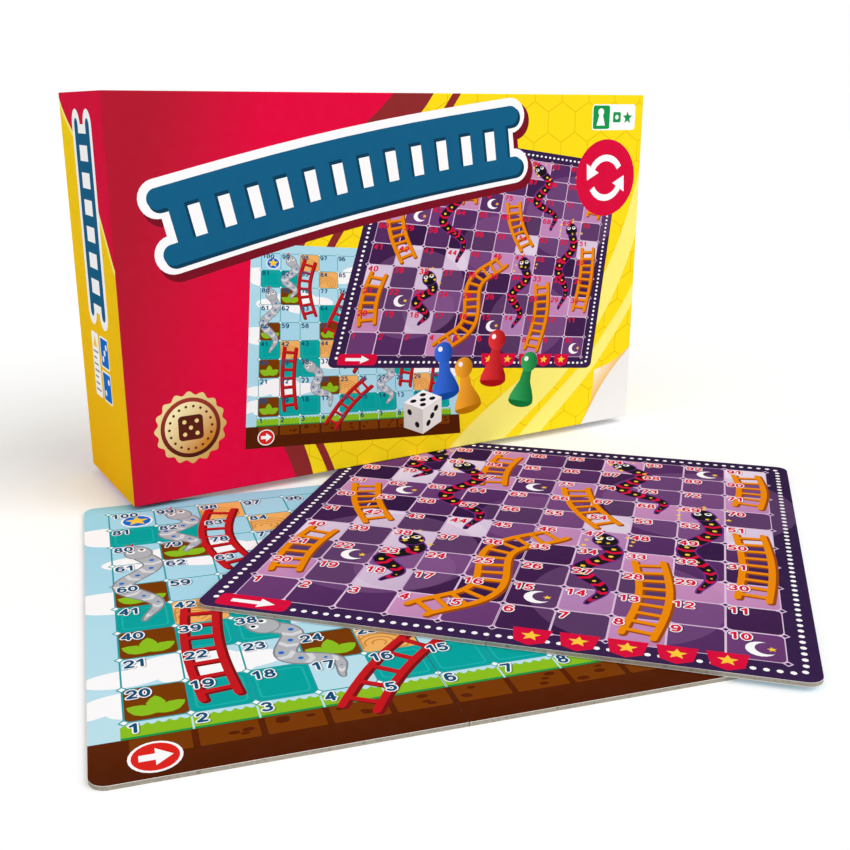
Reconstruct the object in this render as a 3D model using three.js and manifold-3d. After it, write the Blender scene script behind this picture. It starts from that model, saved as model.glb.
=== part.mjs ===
// A boxed snakes and ladders set, standing as it is shown for sale: a lift-off-lid box on its long edge,
// two double-sided folding boards in front of it and partly under it, and four pawns and a die loose inside.
// Millimetres, +Z up. The box front faces -Y and its length runs along +X.
import * as THREE from 'three';
import { RoundedBoxGeometry } from 'three/addons/geometries/RoundedBoxGeometry.js';
import { mergeVertices } from 'three/addons/utils/BufferGeometryUtils.js';
import Module from 'manifold-3d';

const wasm = await Module();
wasm.setup();

// Sheet goods
const PAPER = 0.2; // printed wraps and board sheets
const GLUE = 0.05; // glue line between paper and board
const STAY = 0.2; // paper tape at the box corners
const GREYBOARD = 1.5; // box walls
const CORE = 1.6; // playing board core

// Playing boards; places are taken from the middle of the box front, turns in degrees about Z
const BOARD_SIDE = 280; // square when open
const BOARD_CORNER = 7; // corner radius
const FOLD_GAP = 0.3; // between the two leaves of a board
const LOWER_BOARD_PLACE = { x: -108.5, y: -149.5, turn: -13.5 };
const UPPER_BOARD_PLACE = { x: -1.5, y: -142, turn: -46 };

// Box
const TRAY_ROOM = 91; // inside depth of the tray
const ROOM_BESIDE = 85; // inside length left beside a folded board
const ROOM_ABOVE = 82; // inside height left above a folded board
const LID_PLAY = 0.6; // room between tray and lid, each side
const TRAY_STEP = 2; // how far the tray's back stands out of the lid's mouth
const TURN_IN = 14; // width of wrap turned in over a rim
const STAY_LEG = 14; // width of corner tape on each wall
const SEAT = 0.3; // gap between pieces that rest on each other

// Loose pieces in the tray
const LOOSE_PITCH = 38; // spacing along the tray
const PAWN_BASE = 7; // base radius
const PAWN_EDGE = 0.8; // rounding of the base's lower edge
const PAWN_SKIRT = 2.2; // height where the base starts to draw in
const PAWN_NECK = 2.6; // radius under the head
const PAWN_NECK_UP = 17; // height of the neck
const PAWN_HEAD = 4.6; // head radius
const PAWN_SIDES = 24;
const DIE = 16; // edge length
const DIE_CORNER = 2.4; // rounding of the die
const DIE_HEADING = 14; // degrees
const PIP = 1.5; // radius of a pip at the face
const PIP_DEPTH = 0.7;
const PIP_SPREAD = 4; // from the middle of a face to its outer pips

// Sizes that follow from those above
const STAY_ROOM = STAY + 2 * GLUE;
const SKIN = PAPER + STAY_ROOM;
const PANEL = SKIN + GREYBOARD;
const WALL = PANEL + GLUE + PAPER;
const BOARD_THICK = CORE + 2 * (GLUE + PAPER);
const TRAY_LENGTH = BOARD_SIDE + ROOM_BESIDE + 2 * WALL;
const TRAY_HEIGHT = BOARD_SIDE / 2 + ROOM_ABOVE + 2 * WALL;
const TRAY_DEPTH = TRAY_ROOM + PANEL;
const TRAY_BACK = PANEL + SEAT + TRAY_DEPTH;
const LID_LENGTH = TRAY_LENGTH + 2 * (LID_PLAY + WALL);
const LID_HEIGHT = TRAY_HEIGHT + 2 * (LID_PLAY + WALL);
const LID_DEPTH = TRAY_BACK - TRAY_STEP;
const PAWN_HEAD_UP = PAWN_NECK_UP + Math.sqrt(PAWN_HEAD ** 2 - PAWN_NECK ** 2);
const PAWN_TALL = PAWN_HEAD_UP + PAWN_HEAD;

const paint = (color, roughness) => new THREE.MeshStandardMaterial({ color, roughness, metalness: 0 });
const GREY = paint(0x9c958a, 0.95);
const TAPE = paint(0xe9e4d6, 0.8);
const LID_PRINT = paint(0xffe11a, 0.35);
const TRAY_PRINT = paint(0xf2c90f, 0.4);
const DAY_PRINT = paint(0x8fd0e8, 0.4);
const NIGHT_PRINT = paint(0x6b4075, 0.4);
const IVORY = paint(0xf5f2ea, 0.3);
const PAWNS = [
  { name: 'pawn_red', material: paint(0xd21a26, 0.3), heading: 24 },
  { name: 'pawn_blue', material: paint(0x1f5fc0, 0.3), heading: -18 },
  { name: 'pawn_green', material: paint(0x2f9a3a, 0.3), heading: 152 },
  { name: 'pawn_yellow', material: paint(0xf4b515, 0.3), heading: 9 },
];

function mesh(name, geometry, material) {
  const piece = new THREE.Mesh(geometry, material);
  piece.name = name;
  return piece;
}

// Booleans: three.js geometry goes in and comes out
function toSolid(geometry) {
  const bare = geometry.clone();
  bare.deleteAttribute('normal');
  bare.deleteAttribute('uv');
  const welded = mergeVertices(bare, 1e-4);
  const vertProperties = new Float32Array(welded.attributes.position.array);
  const triVerts = new Uint32Array(welded.index.array);
  return new wasm.Manifold(new wasm.Mesh({ numProp: 3, vertProperties, triVerts }));
}

function toGeometry(solid) {
  const { vertProperties, triVerts } = solid.getMesh();
  const geometry = new THREE.BufferGeometry();
  geometry.setAttribute('position', new THREE.BufferAttribute(vertProperties, 3));
  geometry.setIndex(new THREE.BufferAttribute(triVerts, 1));
  geometry.computeVertexNormals();
  return geometry;
}

function cut(body, ...tools) {
  return tools.reduce((left, tool) => left.subtract(toSolid(tool)), toSolid(body));
}

// A block of a length along X and a height along Z, from y0 to y1
function block(length, height, y0, y1) {
  return new THREE.BoxGeometry(length, y1 - y0, height).translate(0, (y0 + y1) / 2, 0);
}

// Greyboard half of the box: panel at y = 0, mouth towards +Y
function shellGeometry(length, height, depth) {
  const outerLength = length - 2 * SKIN;
  const outerHeight = height - 2 * SKIN;
  const rim = depth - PAPER - GLUE;
  const body = block(outerLength, outerHeight, SKIN, rim);
  const room = block(outerLength - 2 * GREYBOARD, outerHeight - 2 * GREYBOARD, PANEL, rim + 1);
  return toGeometry(cut(body, room));
}

// Printed paper over that shell: panel, four sides, over the rim, and a strip turned in
function wrapGeometry(length, height, depth) {
  const inLength = length - 2 * WALL;
  const inHeight = height - 2 * WALL;
  const outside = block(length, height, 0, depth);
  const shellRoom = block(length - 2 * PAPER, height - 2 * PAPER, PAPER, depth - PAPER);
  const mouth = block(inLength, inHeight, depth / 2, depth + 1);
  const strip = block(inLength + 2 * PAPER, inHeight + 2 * PAPER, depth - TURN_IN, depth - PAPER / 2);
  const stripRoom = block(inLength, inHeight, depth - TURN_IN - 1, depth + 1);
  return toGeometry(cut(outside, shellRoom, mouth).add(cut(strip, stripRoom)));
}

// Tape round one corner of the shell: the corner is at the origin, with legs along +X and +Z
function stayGeometry(depth) {
  const outer = -GLUE - STAY;
  const outline = new THREE.Shape();
  outline.moveTo(outer, outer);
  outline.lineTo(STAY_LEG, outer);
  outline.lineTo(STAY_LEG, -GLUE);
  outline.lineTo(-GLUE, -GLUE);
  outline.lineTo(-GLUE, STAY_LEG);
  outline.lineTo(outer, STAY_LEG);
  const run = depth - PANEL - PAPER - 2 * GLUE;
  const geometry = new THREE.ExtrudeGeometry(outline, { depth: run, bevelEnabled: false });
  return geometry.rotateX(Math.PI / 2).translate(0, PANEL + run, 0);
}

// Lid or tray: shell, wrap and four corner stays
function boxHalf(name, length, height, depth, print) {
  const half = new THREE.Group();
  half.add(mesh(`${name}_shell`, shellGeometry(length, height, depth), GREY));
  half.add(mesh(`${name}_wrap`, wrapGeometry(length, height, depth), print));
  const corners = [[-1, -1], [-1, 1], [1, 1], [1, -1]];
  corners.forEach(([side, level], turn) => {
    const stay = mesh(`${name}_corner_stay_${turn + 1}`, stayGeometry(depth), TAPE);
    stay.position.set(side * (length / 2 - SKIN), 0, level * (height / 2 - SKIN));
    stay.rotation.y = turn * Math.PI / 2;
    half.add(stay);
  });
  return half;
}

// A sheet of board or paper with the outline of one leaf: the right one, or half a turn from it the left one
function leafSheet(name, turn, thick, material) {
  const fold = FOLD_GAP / 2;
  const side = BOARD_SIDE / 2;
  const outer = side - BOARD_CORNER;
  const quarter = Math.PI / 2;
  const outline = new THREE.Shape();
  outline.moveTo(fold, -side);
  outline.lineTo(outer, -side);
  outline.absarc(outer, -outer, BOARD_CORNER, 3 * quarter, 4 * quarter);
  outline.lineTo(side, outer);
  outline.absarc(outer, outer, BOARD_CORNER, 0, quarter);
  outline.lineTo(fold, side);
  const options = { depth: thick, bevelEnabled: false, curveSegments: 8 };
  return mesh(name, new THREE.ExtrudeGeometry(outline, options).rotateZ(turn), material);
}

// A board opened flat: each leaf has an under sheet, a core and an upper sheet
function playingBoard(name, place, upper, under) {
  const board = new THREE.Group();
  const leaves = [['left', Math.PI], ['right', 0]];
  leaves.forEach(([leaf, turn]) => {
    const underSheet = leafSheet(`${name}_${leaf}_${under.face}_sheet`, turn, PAPER, under.print);
    const core = leafSheet(`${name}_${leaf}_core`, turn, CORE, GREY);
    const upperSheet = leafSheet(`${name}_${leaf}_${upper.face}_sheet`, turn, PAPER, upper.print);
    core.position.z = PAPER + GLUE;
    upperSheet.position.z = BOARD_THICK - PAPER;
    board.add(underSheet, core, upperSheet);
  });
  board.position.set(place.x, place.y, 0);
  board.rotation.z = THREE.MathUtils.degToRad(place.turn);
  return board;
}

// A turned pawn lying on z = 0, on the shoulder of its base and its head, with its middle at the origin
function pawnGeometry() {
  const outline = new THREE.Path();
  outline.moveTo(0, 0);
  outline.lineTo(PAWN_BASE - PAWN_EDGE, 0);
  outline.absarc(PAWN_BASE - PAWN_EDGE, PAWN_EDGE, PAWN_EDGE, -Math.PI / 2, 0);
  outline.lineTo(PAWN_BASE, PAWN_SKIRT);
  outline.quadraticCurveTo(PAWN_NECK + 1, (PAWN_SKIRT + PAWN_NECK_UP) / 3, PAWN_NECK, PAWN_NECK_UP);
  const neckAngle = Math.atan2(PAWN_NECK_UP - PAWN_HEAD_UP, PAWN_NECK);
  outline.absarc(0, PAWN_HEAD_UP, PAWN_HEAD, neckAngle, Math.PI / 2);
  const points = outline.getPoints(5);
  points[points.length - 1].x = 0;
  const along = PAWN_HEAD_UP - PAWN_SKIRT;
  const tilt = Math.acos(PAWN_HEAD / Math.hypot(PAWN_BASE, along)) - Math.atan2(along, PAWN_BASE);
  const lift = PAWN_BASE * Math.cos(tilt) + PAWN_SKIRT * Math.sin(tilt);
  const geometry = new THREE.LatheGeometry(points, PAWN_SIDES);
  geometry.rotateZ(-Math.PI / 2).rotateY(tilt);
  return geometry.translate(-PAWN_TALL / 2, 0, lift);
}

// A six-sided die with round corners and dished pips; opposite faces add up to seven
function dieGeometry() {
  const middle = [[0, 0]];
  const slant = [[-1, -1], [1, 1]];
  const square = [...slant, [-1, 1], [1, -1]];
  const faces = [
    { normal: [0, 0, 1], pips: middle },
    { normal: [1, 0, 0], pips: slant },
    { normal: [0, 1, 0], pips: [...slant, ...middle] },
    { normal: [0, -1, 0], pips: square },
    { normal: [-1, 0, 0], pips: [...square, ...middle] },
    { normal: [0, 0, -1], pips: [...square, [-1, 0], [1, 0]] },
  ];
  const ball = (PIP ** 2 + PIP_DEPTH ** 2) / (2 * PIP_DEPTH);
  const outward = new THREE.Vector3(0, 0, 1);
  const cutters = faces.flatMap(({ normal, pips }) => {
    const facing = new THREE.Quaternion().setFromUnitVectors(outward, new THREE.Vector3(...normal));
    return pips.map(([across, up]) => {
      const cutter = new THREE.SphereGeometry(ball, 12, 8).rotateX(Math.PI / 2);
      cutter.translate(across * PIP_SPREAD, up * PIP_SPREAD, DIE / 2 - PIP_DEPTH + ball);
      return cutter.applyQuaternion(facing);
    });
  });
  return toGeometry(cut(new RoundedBoxGeometry(DIE, DIE, DIE, 3, DIE_CORNER), ...cutters));
}

// The box, standing on z = 0 with its front at y = 0 and the tray resting low in the lid
function standingBox() {
  const lid = boxHalf('lid', LID_LENGTH, LID_HEIGHT, LID_DEPTH, LID_PRINT);
  lid.position.z = LID_HEIGHT / 2;
  const tray = boxHalf('tray', TRAY_LENGTH, TRAY_HEIGHT, TRAY_DEPTH, TRAY_PRINT);
  tray.position.set(0, TRAY_BACK, WALL + SEAT + TRAY_HEIGHT / 2);
  tray.rotation.z = Math.PI;
  const box = new THREE.Group();
  box.add(lid, tray, ...loosePieces());
  return box;
}

// Pawns and die in a row on the tray's lower wall, between the turned-in strip and the tray's base
function loosePieces() {
  const floor = WALL + SEAT + PANEL + SEAT;
  const middle = PANEL + SEAT + (TURN_IN + TRAY_ROOM) / 2;
  const pieces = PAWNS.map(({ name, material, heading }) => {
    const pawn = mesh(name, pawnGeometry(), material);
    pawn.position.z = floor;
    pawn.rotation.z = THREE.MathUtils.degToRad(heading);
    return pawn;
  });
  const die = mesh('die', dieGeometry(), IVORY);
  die.position.z = floor + DIE / 2;
  die.rotation.z = THREE.MathUtils.degToRad(DIE_HEADING);
  pieces.push(die);
  pieces.forEach((piece, index) => {
    piece.position.x = (index - (pieces.length - 1) / 2) * LOOSE_PITCH;
    piece.position.y = middle;
  });
  return pieces;
}

// Stack the boards and the box, then centre the whole set over the origin
const day = { face: 'day', print: DAY_PRINT };
const night = { face: 'night', print: NIGHT_PRINT };
const lowerBoard = playingBoard('lower_board', LOWER_BOARD_PLACE, day, night);
const upperBoard = playingBoard('upper_board', UPPER_BOARD_PLACE, night, day);
const box = standingBox();
upperBoard.position.z = BOARD_THICK + SEAT;
box.position.z = 2 * (BOARD_THICK + SEAT);

const gameSet = new THREE.Group();
gameSet.add(lowerBoard, upperBoard, box);
const middle = new THREE.Box3().setFromObject(gameSet, true).getCenter(new THREE.Vector3());
gameSet.position.set(-middle.x, -middle.y, 0);

const root = new THREE.Group();
root.add(gameSet);
export default root;
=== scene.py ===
# %% [markdown]
# # A boxed snakes and ladders set
# The set stands as a shop would show it: a lift-off-lid box on its long edge, and in front of it the
# folding board, once with the day face up and once with the night face up. The solids come from the
# frame in metres. This lesson gives them their printed paper, greyboard, plastic, light and camera.

# %% Load the frame
import math
import random
from collections import namedtuple

import bmesh
import bpy
import numpy as np
from mathutils import Matrix, Vector
from mathutils.geometry import delaunay_2d_cdt


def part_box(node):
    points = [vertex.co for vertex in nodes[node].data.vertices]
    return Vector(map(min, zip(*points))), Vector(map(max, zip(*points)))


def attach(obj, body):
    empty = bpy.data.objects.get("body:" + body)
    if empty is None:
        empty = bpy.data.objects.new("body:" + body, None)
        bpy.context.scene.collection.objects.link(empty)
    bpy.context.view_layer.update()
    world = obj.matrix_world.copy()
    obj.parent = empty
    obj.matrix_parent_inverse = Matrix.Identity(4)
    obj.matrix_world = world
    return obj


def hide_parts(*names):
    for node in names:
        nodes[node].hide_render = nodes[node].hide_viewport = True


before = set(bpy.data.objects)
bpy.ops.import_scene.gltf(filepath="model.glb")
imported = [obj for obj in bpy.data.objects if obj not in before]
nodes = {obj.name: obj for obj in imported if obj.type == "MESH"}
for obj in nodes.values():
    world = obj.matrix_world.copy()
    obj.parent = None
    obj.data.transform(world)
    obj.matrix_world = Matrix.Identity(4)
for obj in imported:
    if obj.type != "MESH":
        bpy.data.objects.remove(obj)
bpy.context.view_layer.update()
MM = 0.001

# %% [markdown]
# ## Shader maths as Python
# A finish could be wired by hand in the shader editor, but its arithmetic is easier to read as
# arithmetic. `Value` wraps one socket, and each operator on it adds a Math node. `Finish` is the node
# tree of one material, or of the sky: `node` makes any other kind of node from its type, its settings
# and what goes into its sockets.

# %% One socket
class Value:
    """A socket that takes + - and *; each one adds a Math node to the finish."""

    def __init__(self, finish, socket):
        self.finish, self.socket = finish, socket

    def maths(self, operation, first, second):
        return self.finish.node("Math", {"operation": operation}, {0: first, 1: second})

    def __add__(self, other):
        return self.maths("ADD", self, other)

    def __sub__(self, other):
        return self.maths("SUBTRACT", self, other)

    def __rsub__(self, other):
        return self.maths("SUBTRACT", other, self)

    def __mul__(self, other):
        return self.maths("MULTIPLY", self, other)

    def above(self, level):
        return self.maths("GREATER_THAN", self, level)

    __radd__, __rmul__ = __add__, __mul__


print("sockets take + - and *")

# %% One node tree
MIX_FIRST, MIX_SECOND, MIX_RESULT = 6, 7, 2  # a Mix node's sockets for colours


class Finish:
    """The nodes of a material, with a Principled shader at their end, or of the sky with its Background."""

    def __init__(self, owner):
        owner.use_nodes = True
        self.owner, self.tree = owner, owner.node_tree
        self.shader = self.tree.nodes.get("Principled BSDF") or self.tree.nodes["Background"]

    def node(self, kind, settings=None, sockets=None, output=0):
        made = self.tree.nodes.new("ShaderNode" + kind)
        for name, setting in (settings or {}).items():
            if name == "stops":
                self.set_stops(made.color_ramp, setting)
            else:
                setattr(made, name, setting)
        for name, source in (sockets or {}).items():
            self.feed(made.inputs[name], source)
        return Value(self, made.outputs[output])

    def set_stops(self, ramp, stops):
        while len(ramp.elements) < len(stops):
            ramp.elements.new(1)
        for element, (position, colour) in zip(ramp.elements, stops):
            element.position, element.color = position, opaque(colour)

    def feed(self, socket, source):
        if isinstance(source, Value):
            self.tree.links.new(source.socket, socket)
        else:
            socket.default_value = source

    def noise(self, size, detail=2.0, rough=0.5):
        """Noise whose features are about `size` metres across."""
        place = self.node("TexCoord", output="Object")
        sockets = {"Vector": place, "Scale": 1 / size, "Detail": detail, "Roughness": rough}
        return self.node("TexNoise", sockets=sockets)

    def mix(self, share, first, second):
        sockets = {"Factor": share, MIX_FIRST: first, MIX_SECOND: second}
        return self.node("Mix", {"data_type": "RGBA"}, sockets, MIX_RESULT)

    def bump(self, height, strength, distance):
        return self.node("Bump", sockets={"Height": height, "Strength": strength, "Distance": distance})

    def looked_at(self):
        """1 where the camera sees this, also in a mirror or through glass, and 0 where it only lights."""
        camera, glossy, clear = (self.node("LightPath", output="Is " + kind + " Ray")
                                 for kind in ("Camera", "Glossy", "Transmission"))
        return camera + glossy + clear

    def surface(self, **sockets):
        """Feed the shader at the end; base_color stands for its socket Base Color."""
        for name, source in sockets.items():
            self.feed(self.shader.inputs[name.replace("_", " ").title().replace("Ior", "IOR")], source)
        return self.owner


def new_finish(name):
    return Finish(bpy.data.materials.new(name))


def opaque(colour):
    return (*colour, 1)


def grey(level):
    return opaque((level, level, level))


print("grey of 0.5 is", grey(0.5))

# %% [markdown]
# ## Inks
# Inks are written as the hex values a printer would note from a proof. Blender works in linear light, so
# each is converted once. An ink can also be a fade, a function of the place on the sheet, for a field
# that goes from one colour to another, or a glaze that lets the ink under it show through.

# %% Ink values
Glaze = namedtuple("Glaze", "colour share")


def ink(hex_colour):
    parts = [int(hex_colour[i:i + 2], 16) / 255 for i in (0, 2, 4)]
    return tuple(c / 12.92 if c <= 0.04045 else ((c + 0.055) / 1.055) ** 2.4 for c in parts)


def toned(colour, gain, lift=0):
    """A lighter or darker version of an ink."""
    return tuple(min(1, c * gain + lift) for c in colour)


def clamp(value, low, high):
    return min(max(value, low), high)


def fade(first, last, start, end):
    """An ink that goes from `first` at point start to `last` at point end."""
    start, run = Vector(start), Vector(end) - Vector(start)

    def colour(point):
        share = clamp((Vector(point) - start).dot(run) / run.length_squared, 0, 1)
        return tuple(a + (b - a) * share for a, b in zip(first, last))
    return colour


WHITE, BLACK, PAPER = ink("ffffff"), ink("181418"), ink("f4f1ea")
CRIMSON, RED, DEEP_RED, SIGNAL_RED = ink("dc0a3c"), ink("c8171e"), ink("8f2a2c"), ink("e0241c")
YELLOW, PALE_YELLOW, LINE_YELLOW = ink("ffe018"), ink("fff37c"), ink("efc40a")
BLUE, DEEP_BLUE, FIGURE_BLUE = ink("0b6fd0"), ink("125f86"), ink("0f5078")
TILE_SKY, PALE_SKY = ink("aadcee"), ink("c5e6f0")
TEAL, PALE_TEAL, LINE_TEAL = ink("00a5a0"), ink("1db3ad"), ink("1d9ea4")
LEAF, GREEN, AMBER, GRAIN = ink("8dc21f"), ink("12984a"), ink("f5b563"), ink("d08a3c")
SOIL, DARK_SOIL, SEAL_BROWN = ink("7a3a00"), ink("5a2000"), ink("5a1f16")
DUSK, GLOW_LILAC, FIGURE_RED = ink("3c2250"), ink("a777ae"), ink("dc1440")
LILAC, MID_LILAC, PALE_LILAC, LINE_LILAC = ink("d295c5"), ink("c08cc0"), ink("efe0f3"), ink("e3c6e2")
ORANGE, GOLD, PALE_GOLD = ink("f08c00"), ink("ffcf3a"), ink("f3d98c")
PALE_GREY, GREY, DEEP_GREY = ink("d9dcdf"), ink("b4b7bb"), ink("84888e")
print("inks ready, crimson in linear light", [round(c, 3) for c in CRIMSON])

# %% [markdown]
# ## Outlines
# Everything printed is a flat outline in millimetres. Curve objects could draw them, but points from a
# few small makers can go straight into one cut: discs, round-cornered squares, stars and smooth paths.

# %% Closed outlines
def arc(x, y, rx, ry, start, end, step=36):
    """Points on an ellipse from one angle to another, in degrees."""
    count = max(2, math.ceil(abs(end - start) / step))
    angles = [math.radians(start + (end - start) * i / count) for i in range(count + 1)]
    return [(x + rx * math.cos(a), y + ry * math.sin(a)) for a in angles]


def disc(x, y, radius, squash=1.0, step=30):
    return arc(x, y, radius, radius * squash, 0, 360, step)[:-1]


def oblong(x0, y0, x1, y1, corner, step=30):
    points = []
    for x, y, turn in ((x1, y1, 0), (x0, y1, 90), (x0, y0, 180), (x1, y0, 270)):
        cx = x - math.copysign(corner, x - (x0 + x1) / 2)
        cy = y - math.copysign(corner, y - (y0 + y1) / 2)
        points += arc(cx, cy, corner, corner, turn, turn + 90, step)
    return points


def diamond(x, y, reach):
    return [(x - reach, y), (x, y - reach), (x + reach, y), (x, y + reach)]


def star(x, y, radius, points=5, waist=0.45, turn=90):
    tips = []
    for i in range(2 * points):
        reach = radius if i % 2 == 0 else radius * waist
        angle = math.radians(turn + 180 * i / points)
        tips.append((x + reach * math.cos(angle), y + reach * math.sin(angle)))
    return tips


def arrow(tail, neck, tip, y, shaft, head):
    """An arrow that points right along the height y, with the half widths of its shaft and its head."""
    lower = [(tail, y - shaft), (neck, y - shaft), (neck, y - head)]
    upper = [(neck, y + head), (neck, y + shaft), (tail, y + shaft)]
    return lower + [(tip, y)] + upper


print("a disc has", len(disc(0, 0, 1)), "points, a star", len(star(0, 0, 1)))

# %% Paths
def left_of(run):
    return Vector((-run.y, run.x))


def heading(degrees):
    angle = math.radians(degrees)
    return Vector((math.cos(angle), math.sin(angle)))


def smooth(points, steps=8):
    """A Catmull-Rom curve through the points."""
    ends = [Vector(p) for p in points]
    ends = [2 * ends[0] - ends[1], *ends, 2 * ends[-1] - ends[-2]]
    path = []
    for p, a, b, n in zip(ends, ends[1:], ends[2:], ends[3:]):
        for i in range(steps):
            t = i / steps
            bend = (2 * p - 5 * a + 4 * b - n) * t + (3 * a - p - 3 * b + n) * t * t
            path.append(a + ((b - p) + bend) * t / 2)
    return path + [ends[-2]]


def bowed(start, end, bow, steps=10):
    """A path from start to end that bows out sideways by `bow` millimetres."""
    start, end = Vector(start), Vector(end)
    out = left_of(end - start).normalized()
    return [start.lerp(end, i / steps) + out * bow * math.sin(math.pi * i / steps) for i in range(steps + 1)]


def winding(start, end, swing, waves, steps=36):
    """A path from start to end that winds to both sides, straight at its ends."""
    start, end = Vector(start), Vector(end)
    out = left_of(end - start).normalized()
    path = []
    for i in range(steps + 1):
        t = i / steps
        sway = swing * math.sin(2 * math.pi * waves * t) * math.sin(math.pi * t) ** 0.5
        path.append(start.lerp(end, t) + out * sway)
    return path


def spaced(path, pitch, start=0.5):
    """Points and directions along a path, a pitch apart."""
    path = [Vector(p) for p in path]
    total = sum((b - a).length for a, b in zip(path, path[1:]))
    count = max(1, round(total / pitch))
    marks, run = [], 0.0
    for a, b in zip(path, path[1:]):
        step = (b - a).length
        while len(marks) < count and (len(marks) + start) * total / count <= run + step:
            share = ((len(marks) + start) * total / count - run) / step
            marks.append((a.lerp(b, share), (b - a).normalized()))
        run += step
    return marks


print("a path 100 mm long has", len(spaced([(0, 0), (100, 0)], 12)), "marks 12 mm apart")

# %% Bands along a path
WIDE_END, FINE_STEPS, PLAIN_STEPS = 2, 12, 4  # half widths from WIDE_END on get a finer round end


def along(points, place, run):
    """Local points, x ahead and y to the left, set at a place and turned along a direction."""
    return [Vector(place) + run * x + left_of(run) * y for x, y in points]


def sides(path, width):
    """The two edges of a band along a path. The width is a number, or a function of the share run."""
    path = [Vector(p) for p in path]
    left, right = [], []
    for i, point in enumerate(path):
        run = (path[min(i + 1, len(path) - 1)] - path[max(i - 1, 0)]).normalized()
        wide = width(i / (len(path) - 1)) if callable(width) else width
        out = left_of(run) * wide / 2
        left.append(point + out)
        right.append(point - out)
    return left, right


def round_end(start, end):
    """Points between two corners that round off the end of a stroke, clockwise, more on a wide one."""
    middle, half = (start + end) / 2, (start - end) / 2
    ahead = -left_of(half)
    steps = PLAIN_STEPS if half.length < WIDE_END else FINE_STEPS
    angles = [math.pi * i / steps for i in range(1, steps)]
    return [middle + half * math.cos(a) + ahead * math.sin(a) for a in angles]


print("a wide stroke's end has", len(round_end(Vector((0, 4)), Vector((0, -4)))), "points")

# %% [markdown]
# ## A printed sheet
# On the real board the picture is ink on paper, all in one plane. Flat pieces stacked on each other would
# flicker and leave loose faces, so the outlines are laid over each other in order and Blender's planar
# triangulation cuts them into one surface. Each face takes the ink of the last outline that covers it.

# %% Places inside an outline
def inside(outline, places):
    """Indices of the places, sorted by x, that lie inside an outline: a line from each crosses it oddly."""
    low, high = outline.min(axis=0), outline.max(axis=0)
    first, last = places[:, 0].searchsorted((low[0], high[0]))
    x, y = places[first:last].T
    near = np.flatnonzero((y >= low[1]) & (y <= high[1]))
    x, y = x[near], y[near]
    odd = np.zeros(len(near), bool)
    for (x0, y0), (x1, y1) in zip(outline, np.roll(outline, -1, axis=0)):
        if y0 != y1:
            odd ^= ((y0 > y) != (y1 > y)) & (x < (x1 - x0) * (y - y0) / (y1 - y0) + x0)
    return first + near[odd]


places = np.array([(x, 0.0) for x in range(-3, 4)])
print("of 7 places in a row, inside a disc of radius 2:", len(inside(np.array(disc(0, 0, 2)), places)))

# %% Print
SHARP_TURN = 0.7  # radians; a stroke that turns by more is painted in two
CUT_TRIANGLES, CUT_NEAR = 0, 1e-4  # the kind of cut, and how near two points are one


class Print:
    """Outlines painted in order on one sheet. The first outline is the sheet itself."""

    def __init__(self, outline, base):
        self.shapes = []
        self.paint(outline, base)

    def paint(self, outline, colour):
        outline = [Vector(p).to_2d() for p in outline]
        pairs = zip(outline, outline[1:] + outline[:1])
        if sum(a.x * b.y - b.x * a.y for a, b in pairs) < 0:
            outline.reverse()
        self.shapes.append((outline, colour))

    def band(self, path, width, colour, caps=False):
        """A stroke along a path, with round ends and corners if asked."""
        path = [Vector(p) for p in path]
        sharp = [i for i in range(1, len(path) - 1)
                 if (path[i] - path[i - 1]).angle(path[i + 1] - path[i], 0) > SHARP_TURN]
        for start, end in zip([0] + sharp, sharp + [len(path) - 1]):
            left, right = sides(path[start:end + 1], width)
            tail = round_end(right[0], left[0]) if caps else []
            tip = round_end(left[-1], right[-1]) if caps else []
            self.paint(left + tip + right[::-1] + tail, colour)

    def copy_in(self, other, move):
        """Paint another sheet's outlines here, each point moved by a function."""
        for outline, colour in other.shapes:
            middle = sum(outline, Vector((0, 0))) / len(outline)
            flat = colour(middle) if callable(colour) else colour
            self.paint([move(point) for point in outline], flat)

    def ink_at(self, layers, point):
        """The ink that shows where these outlines lie over each other."""
        shown = BLACK
        for layer in layers:
            colour = self.shapes[layer][1]
            if isinstance(colour, Glaze):
                shown = tuple(a + (b - a) * colour.share for a, b in zip(shown, colour.colour))
            else:
                shown = colour(point) if callable(colour) else colour
        return shown

    def cut(self, creases=()):
        """One flat surface: its points, and each face with the outlines that show on it."""
        points, lines = [], []
        for outline, _ in self.shapes:
            first, count = len(points), len(outline)
            lines += [(first + i, first + (i + 1) % count) for i in range(count)]
            points += outline
        for crease in creases:
            lines.append((len(points), len(points) + 1))
            points += [Vector(end) for end in crease]
        points, _, faces, _, _, _ = delaunay_2d_cdt(points, lines, [], CUT_TRIANGLES, CUT_NEAR)
        middles = np.array(points)[np.array(faces)].mean(axis=1)
        order = middles[:, 0].argsort()
        places = middles[order]
        last, glazes = np.full(len(faces), -1), {}
        for number, (outline, colour) in enumerate(self.shapes):
            covered = order[inside(np.array(outline), places)]
            if number:
                covered = covered[last[covered] >= 0]  # no ink past the sheet's edge
            if isinstance(colour, Glaze):
                for face in covered:
                    glazes.setdefault(face, []).append(number)
            else:
                last[covered] = number
        shown = []
        for face in np.flatnonzero(last >= 0):
            over = [number for number in glazes.get(face, ()) if number > last[face]]
            shown.append((faces[face], [last[face]] + over))
        return points, shown


trial = Print(disc(0, 0, 10), WHITE)
trial.paint(disc(0, 0, 5), RED)
print("a disc on a disc is cut into", len(trial.cut()[1]), "faces")

# %% From print to mesh
INK_LAYER, MAP_LAYER = "ink", "OFBake"
SPARE_MAP = 0.03  # strip at the foot of the map, left for a sheet's edges and plain side


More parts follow.
